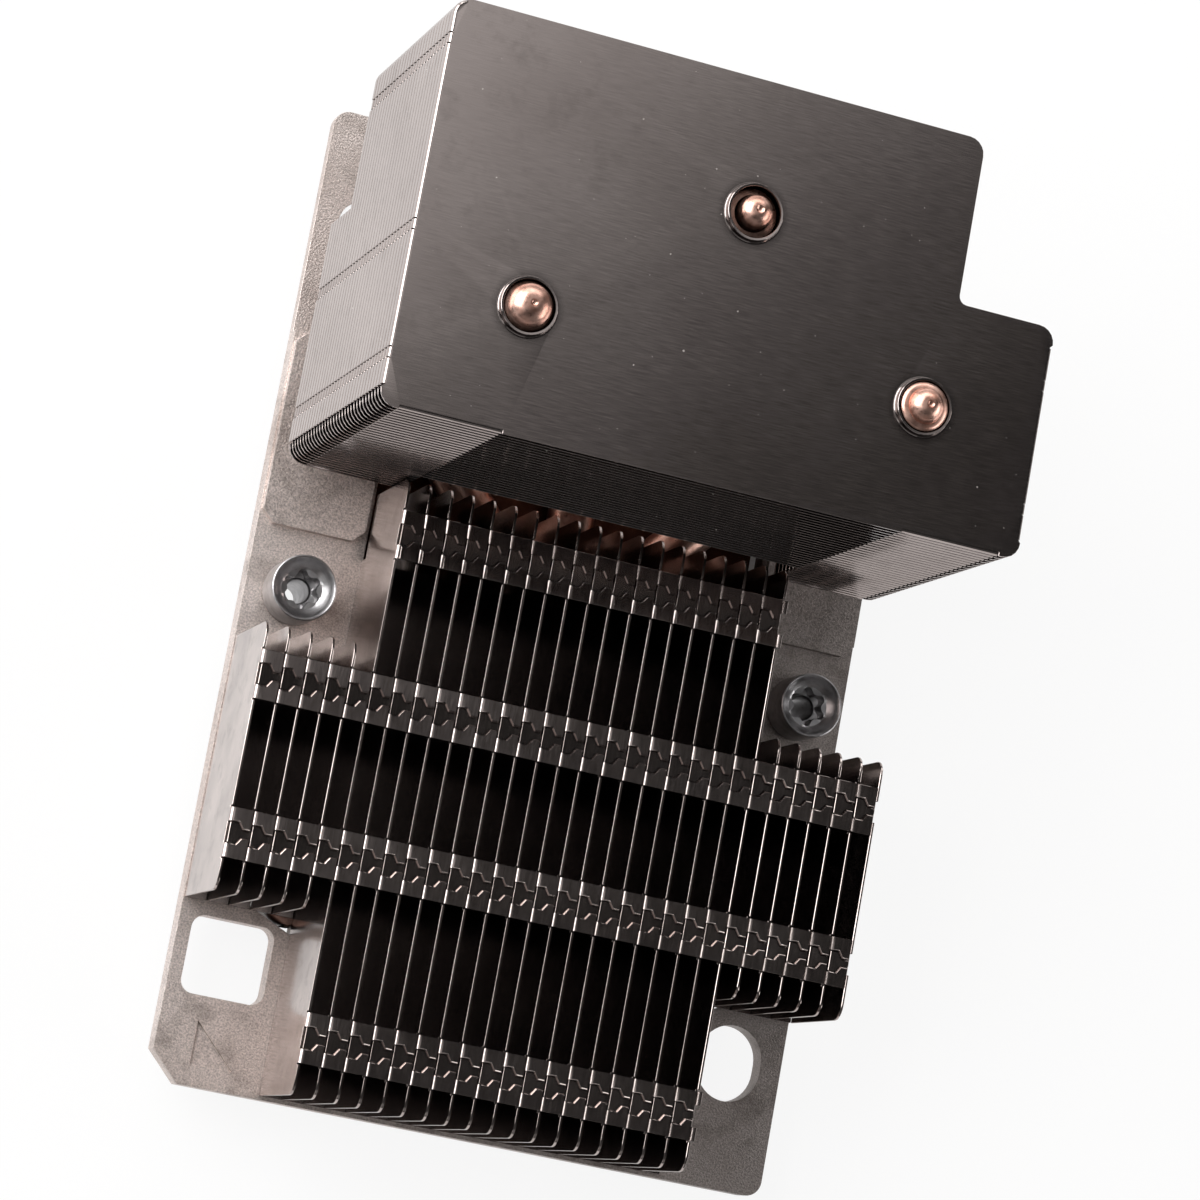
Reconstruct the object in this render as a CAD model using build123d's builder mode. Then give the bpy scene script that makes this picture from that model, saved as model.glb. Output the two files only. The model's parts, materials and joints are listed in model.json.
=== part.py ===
from build123d import *
import os

os.makedirs("parts", exist_ok=True)

# Passive two-stage server processor heatsink, in millimetres.
# The origin is the centre of the processor contact face. +X runs across the lower fins,
# +Y from the open front towards the fin tower, +Z up.

# cast carrier
plate_width = 78.0
plate_length = 121.0
plate_thickness = 3.0
plate_top = 7.0  # height of the carrier's top above the contact face
pin_one_chamfer = 3.6
plate_corner = 2.0
pad_height = 1.0
pad_width = 13.0
pad_inset = 0.25
pad_front = 7.7
pad_rear = 31.8
pad_corner = 1.5
rear_shelf_drop = 1.2

# window in the carrier for the cold plate and the pipes
window_side = 13.8  # plate left on each side of the window
wing_window_side = 4.2
window_width = plate_width - 2 * window_side
window_front = -40.6
window_rear = 50.5
wing_window_width = plate_width - 2 * wing_window_side
wing_window_front = -36.4
wing_window_rear = -7.4
window_clearance = 0.1

# locating holes, set in from the plate's sides
guide_inset = 6.8
guide_offset_x = plate_width / 2 - guide_inset
guide_offset_y = -45.0
square_guide_width = 10.2
square_guide_length = 9.4
square_guide_corner = 1.6
slot_guide_width = 8.2
slot_guide_length = 9.4
rear_hole_inset = 6.65
rear_hole_x = rear_hole_inset - plate_width / 2
rear_hole_y = 46.5
rear_hole_diameter = 7.5
mark_size = 5.2
mark_inset = 4.7
mark_x = mark_inset - plate_width / 2
mark_y = -57.9
mark_depth = 0.4

# captive nuts
nut_inset = 6.1
nut_offset_x = plate_width / 2 - nut_inset
nut_offset_y = 0.0
nut_head_diameter = 7.1
nut_head_height = 5.6
nut_shank_diameter = 5.4
nut_bore_diameter = 3.3
nut_foot = 0.8  # height of the nut's lower end above the contact face
nut_fit = 0.05  # radial running clearance in the carrier
nut_float = 0.3  # axial play at each end
socket_diameter = 5.6
socket_root_diameter = 3.95
socket_depth = 4.2
socket_lobe_radius = 0.66
socket_lobe_sides = 6
socket_root_sides = 12
socket_turn = 37.0
dish_diameter = 6.5
dish_depth = 1.1
clip_thickness = 0.6
clip_diameter = 7.6
clip_sides = 16
clip_mouth = 3.0

# cold plate
slab_gap = 0.2  # to each side of the window
slab_width = window_width - 2 * slab_gap
slab_length = 72.0
slab_thickness = 2.5
boss_front = -36.5
boss_rear = 5.8
boss_wing_front = -34.0
contact_bevel = 0.5

# heat pipes
pipe_diameter = 5.9
pipe_flat_width = 7.5
pipe_flat_height = 3.0
pipe_end_inset = 13.1
pipe_end_x = plate_width / 2 - pipe_end_inset
pipe_end_y = -35.9
pipe_splay_y = -31.0
pipe_core_x = 8.5
pipe_core_y = -14.0
pipe_splay_bend = 7.0
pipe_round_x = 9.8
pipe_round_y = 12.2  # where the flat section has become round again
pipe_bend = 10.5
pipe_bend_steps = 7
pipe_sides = 12  # the round lengths are drawn with this many flats
outer_pipe_inset = 15.0
outer_pipe_x = plate_width / 2 - outer_pipe_inset
outer_pipe_y = 28.7
middle_pipe_y = 45.85
pipe_fit = 0.05
collar_height = 1.0
collar_wall = 0.22
tip_neck = 0.5
tip_steps = ((0.7, 1.0), (1.6, 0.78), (2.4, 0.25))  # height above the neck, share of the tip's radius
outer_tip_radius = 2.35
middle_tip_radius = 1.9

# lower fin stack
fin_sheet = 0.3
fin_inset = 0.3  # the first fin stands inside the plate's edge, the last one just past it
fin_overhang = 0.31
short_fins_left = 5
long_fins = 19
short_fins_right = 5
first_fin_x = fin_inset - plate_width / 2
last_fin_x = plate_width / 2 + fin_overhang
fin_pitch = (last_fin_x - first_fin_x) / (short_fins_left + long_fins + short_fins_right)
stack_height = 16.9
fin_corner = 1.9
long_fin_front = -60.0
long_fin_rear = 13.8
short_fin_front = -38.6
short_fin_rear = -6.6
pipe_relief = 1.9  # the long fins clear the round pipes behind the cold plate
pipe_relief_front = 5.8

# zip tabs that lock each lower fin to the next
row_centres = (long_fin_front + 6.7, short_fin_front + 6.8, short_fin_rear - 6.4, long_fin_rear - 6.9)
row_length = 5.9
zip_mouth = 2.6
zip_neck = 1.0
zip_straight = 1.15
zip_slant = 0.55
zip_notch_depth = 0.75
zip_clearance = 0.05
zip_stub = 0.6  # the last long fin's outer tabs end here, past its web's middle

# fin tower
tower_sheet = 0.3
tower_pitch = 1.322
tower_top = 51.0  # above the carrier's top
full_fins = 25
split_fins = 7
tower_inset_left = 0.33
tower_inset_right = 0.4
tower_left = tower_inset_left - plate_width / 2
tower_right = plate_width / 2 - tower_inset_right
tower_front = 13.97
tower_rear = 61.5
step_width = 12.33
step_x = tower_right - step_width
step_y = 41.75
tower_corner = 2.0
hole_sides = 4  # the sheets below the top one clear the pipes with plain holes
side_flange_gap = 0.15
front_wing = 14.5
side_start = 2.4
wing_lap = 4.6  # how far the lower wings reach inwards, past the outer pipes
wing_lap_front = 22.0
rear_notch_y = 44.2


def web_x(index):
    return first_fin_x + index * fin_pitch


def export(piece, name):
    piece.part.label = name
    export_step(piece.part, f"parts/{name}.step")


def pipe_places():
    # plan position and spun tip radius of each pipe in the tower
    return {
        "left": (-outer_pipe_x, outer_pipe_y, outer_tip_radius),
        "middle": (0.0, middle_pipe_y, middle_tip_radius),
        "right": (outer_pipe_x, outer_pipe_y, outer_tip_radius),
    }


def make_carrier():
    underside = plate_top - plate_thickness
    half_width = plate_width / 2
    half_length = plate_length / 2
    with BuildPart() as carrier:
        with BuildSketch(Plane.XY.offset(underside)):
            Rectangle(plate_width, plate_length)
            corners = vertices().sort_by(Axis.Y)
            front = corners[:2].sort_by(Axis.X)
            chamfer(front[0], pin_one_chamfer)
            far_corners = vertices().filter_by(lambda v: abs(v.X) > half_width - 0.01)
            fillet(far_corners.filter_by(lambda v: v.X > 0 or v.Y > 0), plate_corner)
        extrude(amount=plate_thickness)
        # raised pads beside the tower
        pad_centre_x = half_width - pad_inset - pad_width / 2
        with BuildSketch(Plane.XY.offset(plate_top)):
            with Locations(*[(s * pad_centre_x, (pad_front + pad_rear) / 2) for s in (-1, 1)]):
                Rectangle(pad_width, pad_rear - pad_front)
            chamfer(vertices(), pad_corner)
        extrude(amount=pad_height)
        # lower shelf along the rear edge
        with BuildSketch(Plane.XY.offset(plate_top)):
            with Locations((0, (pad_rear + half_length) / 2)):
                Rectangle(plate_width, half_length - pad_rear)
        extrude(amount=-rear_shelf_drop, mode=Mode.SUBTRACT)
        # window: long middle part and the splayed part under the short fins
        with BuildSketch(Plane.XY.offset(underside)):
            with Locations((0, (window_front + window_rear) / 2)):
                Rectangle(window_width, window_rear - window_front)
            Polygon(
                (-window_width / 2, window_front),
                (-wing_window_width / 2, wing_window_front),
                (-wing_window_width / 2, wing_window_rear),
                (wing_window_width / 2, wing_window_rear),
                (wing_window_width / 2, wing_window_front),
                (window_width / 2, window_front),
                align=None,
            )
        extrude(amount=plate_thickness + pad_height, mode=Mode.SUBTRACT)
        # locating holes, rear hole and the nuts' holes
        with BuildSketch(Plane.XY.offset(underside)):
            with Locations((-guide_offset_x, guide_offset_y)):
                RectangleRounded(square_guide_width, square_guide_length, square_guide_corner)
            with Locations((guide_offset_x, guide_offset_y)):
                SlotOverall(slot_guide_length, slot_guide_width, rotation=90)
            with Locations((rear_hole_x, rear_hole_y)):
                Circle(rear_hole_diameter / 2)
            with Locations((-nut_offset_x, nut_offset_y), (nut_offset_x, nut_offset_y)):
                Circle(nut_shank_diameter / 2 + nut_fit)
        extrude(amount=plate_thickness + pad_height, mode=Mode.SUBTRACT)
        # pin-one triangle
        with BuildSketch(Plane.XY.offset(plate_top)):
            Polygon(
                (mark_x, mark_y),
                (mark_x + mark_size, mark_y),
                (mark_x, mark_y + mark_size),
                align=None,
            )
        extrude(amount=-mark_depth, mode=Mode.SUBTRACT)
    export(carrier, "carrier_plate")


def make_cold_plate():
    with BuildPart() as plate:
        with BuildSketch(Plane.XY):
            Rectangle(slab_width, slab_length)
        extrude(amount=slab_thickness)
        chamfer(faces().sort_by(Axis.Z)[0].edges(), contact_bevel)
        # boss that fills the carrier's window up to the fins
        wing_width = wing_window_width - 2 * window_clearance
        wing_rear = wing_window_rear - window_clearance
        with BuildSketch(Plane.XY.offset(slab_thickness)):
            with Locations((0, (boss_front + boss_rear) / 2)):
                Rectangle(slab_width, boss_rear - boss_front)
        extrude(amount=plate_top - slab_thickness)
        with BuildSketch(Plane.XY.offset(plate_top - plate_thickness)):
            with Locations((0, (boss_wing_front + wing_rear) / 2)):
                Rectangle(wing_width, wing_rear - boss_wing_front)
        extrude(amount=plate_thickness)
        # grooves for the flattened pipes
        with BuildSketch(Plane.XY.offset(plate_top - pipe_flat_height)):
            for side in (-1, 0, 1):
                add_flat_pipe(side, window_front)
        extrude(amount=pipe_flat_height, mode=Mode.SUBTRACT)
    export(plate, "cold_plate")


def add_flat_pipe(side, front):
    # plan of a flattened pipe in the cold plate, added to the open sketch
    with BuildLine() as route:
        if side == 0:
            Line((0, front), (0, boss_rear))
        else:
            FilletPolyline(
                (side * pipe_end_x, front),
                (side * pipe_end_x, pipe_splay_y),
                (side * pipe_core_x, pipe_core_y),
                (side * pipe_core_x, boss_rear),
                radius=pipe_splay_bend,
            )
    trace(route.line, line_width=pipe_flat_width)


def make_pipe(name, side):
    x, y, tip_radius = pipe_places()[name]
    height = plate_top - pipe_flat_height / 2
    radius = pipe_diameter / 2
    neck = plate_top + tower_top + tip_neck
    round_start = Vector(side * pipe_round_x, pipe_round_y, height)
    foot = Vector(x, y, height)
    heading = (foot - round_start).normalized()
    sideways = heading.cross(Vector(0, 0, 1))
    bend_centre = foot - heading * pipe_bend + Vector(0, 0, pipe_bend)
    turn_axis = Axis((0, 0, 0), sideways)
    with BuildPart() as pipe:
        # flattened length, with a rounded front end
        with BuildSketch(Plane.XY.offset(plate_top - pipe_flat_height)):
            add_flat_pipe(side, pipe_end_y)
            with Locations((side * pipe_end_x, pipe_end_y)):
                Circle(pipe_flat_width / 2)
        extrude(amount=pipe_flat_height)
        # the flat section opens out, bends up, runs through the tower and ends in a spun tip
        with BuildSketch(Plane(origin=(side * pipe_core_x, boss_rear, height), x_dir=(1, 0, 0), z_dir=(0, 1, 0))):
            squash = (pipe_flat_width / pipe_diameter, pipe_flat_height / pipe_diameter, 1)
            scale(RegularPolygon(radius, pipe_sides, mode=Mode.PRIVATE), by=squash)
        with BuildSketch(Plane(origin=round_start, x_dir=sideways, z_dir=heading)):
            RegularPolygon(radius, pipe_sides)
        for step in range(pipe_bend_steps + 1):
            turn = 90 * step / pipe_bend_steps
            place = bend_centre + Vector(0, 0, -pipe_bend).rotate(turn_axis, turn)
            with BuildSketch(Plane(origin=place, x_dir=sideways, z_dir=heading.rotate(turn_axis, turn))):
                RegularPolygon(radius, pipe_sides)
        with BuildSketch(Plane(origin=(x, y, neck), x_dir=sideways, z_dir=(0, 0, 1))):
            RegularPolygon(radius, pipe_sides)
        for rise, share in tip_steps:
            with BuildSketch(Plane(origin=(x, y, neck + rise), x_dir=sideways, z_dir=(0, 0, 1))):
                RegularPolygon(tip_radius * share, pipe_sides)
        loft(ruled=True)
    export(pipe, f"heat_pipe_{name}")


def make_nut(name, side):
    x = side * nut_offset_x
    head_bottom = plate_top + nut_float
    head_top = plate_top + nut_head_height
    with BuildPart() as nut:
        with BuildSketch(Plane(origin=(x, nut_offset_y, 0), x_dir=(1, 0, 0), z_dir=(0, -1, 0))):
            with BuildLine():
                Polyline(
                    (nut_bore_diameter / 2, nut_foot),
                    (nut_shank_diameter / 2, nut_foot),
                    (nut_shank_diameter / 2, head_bottom),
                    (nut_head_diameter / 2, head_bottom),
                    (nut_head_diameter / 2, head_top),
                    (dish_diameter / 2, head_top),
                    (socket_diameter / 2, head_top - dish_depth),
                    (nut_bore_diameter / 2, head_top - dish_depth),
                    close=True,
                )
            make_face()
        revolve(axis=Axis((x, nut_offset_y, 0), (0, 0, 1)))
        # six-lobe socket
        lobe_place = socket_diameter / 2 - socket_lobe_radius
        with BuildSketch(Plane(origin=(x, nut_offset_y, head_top), z_dir=(0, 0, 1))):
            RegularPolygon(socket_root_diameter / 2, socket_root_sides, rotation=socket_turn)
            with PolarLocations(lobe_place, 6, start_angle=socket_turn):
                RegularPolygon(socket_lobe_radius, socket_lobe_sides)
        extrude(amount=-socket_depth, mode=Mode.SUBTRACT)
    export(nut, f"captive_nut_{name}")


def make_clip(name, side):
    clip_top = plate_top - plate_thickness - nut_float
    with BuildPart() as clip:
        with BuildSketch(Plane(origin=(side * nut_offset_x, nut_offset_y, clip_top), z_dir=(0, 0, 1))):
            RegularPolygon(clip_diameter / 2, clip_sides)
            RegularPolygon(nut_shank_diameter / 2, clip_sides, major_radius=False, mode=Mode.SUBTRACT)
            with Locations((0, -side * clip_diameter / 2)):
                Rectangle(clip_mouth, clip_diameter, mode=Mode.SUBTRACT)
        extrude(amount=-clip_thickness)
    export(clip, f"retaining_clip_{name}")


def zip_tab(x, row, side):
    # one half of a zip flange, seen from above: narrow at the fold, wide at the free edge
    reach = x + fin_pitch - fin_sheet / 2 - zip_clearance
    mouth = zip_mouth / 2
    neck = zip_neck / 2
    slant_start = x + zip_straight
    profile = (
        (x, mouth),
        (slant_start, mouth),
        (slant_start + zip_slant, neck),
        (reach, neck),
        (reach, row_length / 2),
        (x, row_length / 2),
    )
    Polygon(*[(px, row + side * py) for px, py in profile], align=None)


def stub_tab(x, row, side):
    # a tab with no neighbour to hold is cut off just past the fold
    with Locations((x + zip_stub / 2, row + side * (zip_mouth + row_length) / 4)):
        Rectangle(zip_stub, (row_length - zip_mouth) / 2)


def make_stack_fin(name, index, front, rear, rows, relieved, stub_rows=(), tabbed=True):
    x = web_x(index)
    top = plate_top + stack_height
    foot_rear = pipe_relief_front if relieved else rear
    with BuildPart() as fin:
        with BuildSketch(Plane.YZ.offset(x - fin_sheet / 2)):
            with Locations(((front + rear) / 2, (plate_top + top) / 2)):
                Rectangle(rear - front, stack_height)
            chamfer(vertices().group_by(Axis.Y)[-1], fin_corner)
            with Locations(*[(row, top) for row in rows]):
                Rectangle(zip_mouth, 2 * zip_notch_depth, mode=Mode.SUBTRACT)
            if relieved:
                with Locations((rear, plate_top)):
                    Rectangle(2 * (rear - foot_rear), 2 * pipe_relief, mode=Mode.SUBTRACT)
        extrude(amount=fin_sheet)
        if tabbed:
            with BuildSketch(Plane.XY.offset(top - fin_sheet)):
                for row in rows:
                    tab = stub_tab if row in stub_rows else zip_tab
                    tab(x, row, 1)
                    tab(x, row, -1)
            extrude(amount=fin_sheet)
            # soldered foot
            reach = fin_pitch - fin_sheet / 2 - zip_clearance
            with BuildSketch(Plane.XY.offset(plate_top)):
                with Locations((x + reach / 2, (front + foot_rear) / 2)):
                    Rectangle(reach, foot_rear - front)
            extrude(amount=fin_sheet)
    export(fin, name)


def tower_height(level):
    # underside of a tower sheet; level 0 is the top sheet
    return plate_top + tower_top - tower_sheet - level * tower_pitch


def make_tower_sheet(collared):
    # one full tower sheet with its folded edges, at the top sheet's height
    base = tower_height(0)
    width = tower_right - tower_left
    length = tower_rear - tower_front
    drop = tower_pitch - tower_sheet - side_flange_gap
    hole = pipe_diameter / 2 + pipe_fit
    sides = pipe_sides if collared else hole_sides
    with BuildPart() as sheet:
        with BuildSketch(Plane.XY.offset(base)):
            with Locations((tower_left + width / 2, tower_front + length / 2)):
                Rectangle(width, length)
            with Locations((tower_right, tower_rear)):
                Rectangle(2 * (tower_right - step_x), 2 * (tower_rear - step_y), mode=Mode.SUBTRACT)
            if collared:
                fillet(vertices(), tower_corner)
            for x, y, tip_radius in pipe_places().values():
                with Locations((x, y)):
                    RegularPolygon(hole, sides, major_radius=False, mode=Mode.SUBTRACT)
        extrude(amount=tower_sheet)
        # flanges folded down from the edges
        with BuildSketch(Plane.XY.offset(base)):
            for x, y0, y1, inward in (
                (tower_left, tower_front + side_start, tower_rear - side_start, 1),
                (tower_right, tower_front + side_start, step_y - side_start, -1),
            ):
                with Locations((x + inward * tower_sheet / 2, (y0 + y1) / 2)):
                    Rectangle(tower_sheet, y1 - y0)
            for edge, inward in ((tower_left, 1), (tower_right, -1)):
                x0 = edge + inward * side_start
                x1 = edge + inward * front_wing
                with Locations(((x0 + x1) / 2, tower_front + tower_sheet / 2)):
                    Rectangle(abs(x1 - x0), tower_sheet)
        extrude(amount=-drop)
        if collared:
            for x, y, tip_radius in pipe_places().values():
                with BuildSketch(Plane.XY.offset(base + tower_sheet)):
                    with Locations((x, y)):
                        RegularPolygon(hole + collar_wall, sides, major_radius=False)
                        RegularPolygon(hole, sides, major_radius=False, mode=Mode.SUBTRACT)
                extrude(amount=collar_height)
    return sheet


def make_wing(side):
    # lower sheets stand only beside the stack; the left ones stop short of the rear hole
    base = tower_height(0)
    outer = tower_left if side < 0 else tower_right
    rear = rear_notch_y if side < 0 else step_y
    inner_front = outer - side * front_wing
    inner_rear = inner_front - side * wing_lap
    drop = tower_pitch - tower_sheet - side_flange_gap
    with BuildPart() as wing:
        with BuildSketch(Plane.XY.offset(base)):
            Polygon(
                (outer, tower_front),
                (inner_front, tower_front),
                (inner_front, wing_lap_front - wing_lap / 2),
                (inner_rear, wing_lap_front),
                (inner_rear, rear),
                (outer, rear),
                align=None,
            )
            with Locations((side * outer_pipe_x, outer_pipe_y)):
                RegularPolygon(pipe_diameter / 2 + pipe_fit, hole_sides, major_radius=False, mode=Mode.SUBTRACT)
        extrude(amount=tower_sheet)
        with BuildSketch(Plane.XY.offset(base)):
            y0 = tower_front + side_start
            y1 = rear - side_start
            with Locations((outer - side * tower_sheet / 2, (y0 + y1) / 2)):
                Rectangle(tower_sheet, y1 - y0)
            x0 = outer - side * side_start
            with Locations(((x0 + inner_front) / 2, tower_front + tower_sheet / 2)):
                Rectangle(abs(x0 - inner_front), tower_sheet)
        extrude(amount=-drop)
    return wing


def stack_copies(sheet, levels, name):
    with BuildPart() as pack:
        with Locations(*[(0, 0, -level * tower_pitch) for level in levels]):
            add(sheet.part)
    export(pack, name)


make_carrier()
make_cold_plate()
for name, side in (("left", -1), ("middle", 0), ("right", 1)):
    make_pipe(name, side)
for name, side in (("left", -1), ("right", 1)):
    make_nut(name, side)
    make_clip(name, side)

index = 0
inner_rows = row_centres[1:3]
for number in range(short_fins_left):
    make_stack_fin(f"short_fin_left_{number + 1}", index, short_fin_front, short_fin_rear, inner_rows, False)
    index += 1
for number in range(long_fins):
    name = f"long_fin_{number + 1:02d}"
    stubs = (row_centres[0], row_centres[3]) if number == long_fins - 1 else ()
    make_stack_fin(name, index, long_fin_front, long_fin_rear, row_centres, True, stubs)
    index += 1
for number in range(short_fins_right):
    make_stack_fin(f"short_fin_right_{number + 1}", index, short_fin_front, short_fin_rear, inner_rows, False)
    index += 1
make_stack_fin("end_fin", index, short_fin_front, short_fin_rear, inner_rows, False, tabbed=False)

export(make_tower_sheet(collared=True), "tower_top_sheet")
stack_copies(make_tower_sheet(collared=False), range(1, full_fins + 1), "tower_sheets")
lower_levels = range(full_fins + 1, full_fins + split_fins + 1)
stack_copies(make_wing(-1), lower_levels, "tower_wing_sheets_left")
stack_copies(make_wing(1), lower_levels, "tower_wing_sheets_right")
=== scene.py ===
import json
import math

import bmesh
import bpy
from mathutils import Matrix, Vector


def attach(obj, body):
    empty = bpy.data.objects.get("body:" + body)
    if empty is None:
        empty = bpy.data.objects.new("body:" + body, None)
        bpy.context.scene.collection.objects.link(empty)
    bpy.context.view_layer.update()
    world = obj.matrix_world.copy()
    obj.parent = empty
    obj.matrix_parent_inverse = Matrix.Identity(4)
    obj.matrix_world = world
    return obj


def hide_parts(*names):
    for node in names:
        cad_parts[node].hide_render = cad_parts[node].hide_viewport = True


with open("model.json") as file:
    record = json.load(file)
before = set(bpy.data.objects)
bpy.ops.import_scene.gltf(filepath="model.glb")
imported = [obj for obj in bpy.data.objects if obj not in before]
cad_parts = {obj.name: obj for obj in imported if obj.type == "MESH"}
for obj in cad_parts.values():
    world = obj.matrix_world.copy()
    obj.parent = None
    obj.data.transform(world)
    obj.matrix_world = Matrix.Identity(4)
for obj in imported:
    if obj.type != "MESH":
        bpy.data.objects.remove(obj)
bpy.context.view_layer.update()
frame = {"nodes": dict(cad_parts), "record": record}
print("frame loaded:", len(frame["nodes"]), "nodes")

mm = 0.001

# shared sizes, in millimetres as all sizes below
plateTop = 7.0  # the carrier's top above the contact face
sheet = 0.3  # thickness of every fin and tower sheet


# node helpers
def toLinear(code):
    # sRGB hex to the linear values that the shader sockets take
    parts = [int(code[i:i + 2], 16) / 255 for i in (1, 3, 5)]
    parts = [c / 12.92 if c <= 0.04045 else ((c + 0.055) / 1.055) ** 2.4 for c in parts]
    return (*parts, 1.0)


def addNode(tree, kind, links=None, stops=(), **settings):
    # links: input name or number -> a value, a socket, or a node whose first output feeds it
    # stops: (place, grey) pairs, for a colour ramp
    node = tree.nodes.new(kind)
    for key, value in settings.items():
        setattr(node, key, value)
    for key, value in (links or {}).items():
        if isinstance(value, bpy.types.Node):
            value = value.outputs[0]
        if isinstance(value, bpy.types.NodeSocket):
            tree.links.new(value, node.inputs[key])
        else:
            node.inputs[key].default_value = value
    if stops:
        elements = node.color_ramp.elements
        while len(elements) < len(stops):
            elements.new(0.5)
        for element, (place, grey) in zip(elements, stops):
            element.position = place
            element.color = (grey, grey, grey, 1)
    return node


def newMaterial(name):
    mat = bpy.data.materials.new(name)
    mat.use_nodes = True
    mat.node_tree.nodes.clear()
    return mat, mat.node_tree


# what the metals share: detail and raggedness of each pattern, and what a smudge adds to the roughness
patterns = {
    "grain": (4.0, 0.6), "cloud": (3.0, 0.55), "smudge": (5.0, 0.65), "dust": (0.0, 0.55),
    "toneSpan": (0.25, 0.75), "roughSpan": (0.25, 0.75), "smudgeRough": 0.12, "dustColour": "#b9b2ab",
}


def metal(name, look):
    # one bare metal: two tones, grain, smudges and bump, each pattern at its real size
    mat, tree = newMaterial(name)
    place = addNode(tree, "ShaderNodeTexCoord").outputs["Object"]
    stretch = [count / mm for count in look["grainPerMm"]]
    detail, ragged = patterns["grain"]
    links = {"Vector": addNode(tree, "ShaderNodeMapping", {"Vector": place, "Scale": stretch}), "Scale": 1.0}
    grain = addNode(tree, "ShaderNodeTexNoise", {**links, "Detail": detail, "Roughness": ragged})
    patch = {}
    for kind in ("cloud", "smudge", "dust"):
        if kind in look:
            sizeMm, start, full, most = look[kind]
            detail, ragged = patterns[kind]
            links = {"Vector": place, "Scale": 1 / (sizeMm * mm), "Detail": detail, "Roughness": ragged}
            blots = addNode(tree, "ShaderNodeTexNoise", links)
            patch[kind] = addNode(tree, "ShaderNodeValToRGB", {"Fac": blots}, ((start, 0.0), (full, most)))
    faint, full = look.get("toneSpan", patterns["toneSpan"])
    shade = addNode(tree, "ShaderNodeValToRGB", {"Fac": grain}, ((faint, 1 - look["grainTone"]), (full, 1.0)))
    layers = [
        (patch["cloud"], toLinear(look["light"]), "MIX"),
        (patch["smudge"], toLinear(look["dirt"]), "MIX"),
        (1.0, shade, "MULTIPLY"),
    ]
    if "side" in look:
        # painted shade: the colour grows darker along x towards one side, standing in for light that falls from
        # the other side
        (low, high), (lowSideShade, highSideShade) = look["side"]
        across = addNode(tree, "ShaderNodeSeparateXYZ", {0: place}).outputs["X"]
        links = {"Value": across, "From Min": low * mm, "From Max": high * mm}
        tone = addNode(tree, "ShaderNodeMapRange", {**links, "To Min": lowSideShade, "To Max": highSideShade})
        layers.append((1.0, tone, "MULTIPLY"))
    if "occlusionShade" in look:
        # painted shade: darker where ambient occlusion finds other surfaces close by, deep between the sheets
        # and under the fins
        deepMm, stops = look["occlusionShade"]
        daylight = addNode(tree, "ShaderNodeAmbientOcclusion", {"Distance": deepMm * mm}, samples=4)
        occlusionTone = addNode(tree, "ShaderNodeValToRGB", {"Fac": daylight.outputs["AO"]}, stops)
        layers.append((1.0, occlusionTone, "MULTIPLY"))
    bare = 1.0
    if "dust" in look:
        # a few pale specks, which are no metal
        layers.append((patch["dust"], toLinear(patterns["dustColour"]), "MIX"))
        bare = addNode(tree, "ShaderNodeMapRange", {"Value": patch["dust"], "To Min": 1.0, "To Max": 0.0})
    base = toLinear(look["dark"])
    for share, colour, how in layers:
        links = {0: share, 6: base, 7: colour}
        base = addNode(tree, "ShaderNodeMix", links, data_type="RGBA", blend_type=how).outputs[2]
    low, high = patterns["roughSpan"]
    smooth, dull = look["rough"]
    links = {"Value": grain, "From Min": low, "From Max": high, "To Min": smooth, "To Max": dull}
    links = {0: patch["smudge"], 1: patterns["smudgeRough"], 2: addNode(tree, "ShaderNodeMapRange", links)}
    rough = addNode(tree, "ShaderNodeMath", links, operation="MULTIPLY_ADD")
    strength, deepMm = look["bump"]
    bump = addNode(tree, "ShaderNodeBump", {"Strength": strength, "Distance": deepMm * mm, "Height": grain})
    links = {"Base Color": base, "Metallic": bare, "Roughness": rough, "Normal": bump}
    shader = addNode(tree, "ShaderNodeBsdfPrincipled", links)
    addNode(tree, "ShaderNodeOutputMaterial", {"Surface": shader})
    return mat


# materials
# cloud, smudge and dust give their size in mm, where the noise starts to show and is full, and its strength
# grainPerMm counts grains or brush lines in a millimetre: the real ones are finer, and these are as coarse as
# they need to be to show
# the ambient-occlusion entry in a look is painted shade: its distance in mm and the ramp stops that darken the
# colour between the sheets and under the fins
stackLook = {
    "dark": "#aa9e9a", "light": "#cbbeb9", "dirt": "#857b75", "cloud": (9.0, 0.35, 0.68, 1.0),
    "smudge": (3.0, 0.52, 0.72, 0.5), "grainPerMm": (6.0, 0.5, 6.0), "grainTone": 0.14, "rough": (0.12, 0.2),
    "bump": (0.1, 0.008), "occlusionShade": (5.0, ((0.1, 0.3), (0.6, 1.0))),
}
towerLook = {
    "dark": "#b5a9a5", "light": "#c4b8b4", "dirt": "#8a807b", "cloud": (30.0, 0.35, 0.68, 1.0),
    "smudge": (3.5, 0.52, 0.72, 0.3), "grainPerMm": (0.35, 7.0, 7.0), "grainTone": 0.24, "rough": (0.1, 0.17),
    "bump": (0.06, 0.005), "occlusionShade": (1.2, ((0.5, 0.08), (0.92, 1.0))), "dust": (0.5, 0.86, 0.9, 0.6),
}
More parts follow.
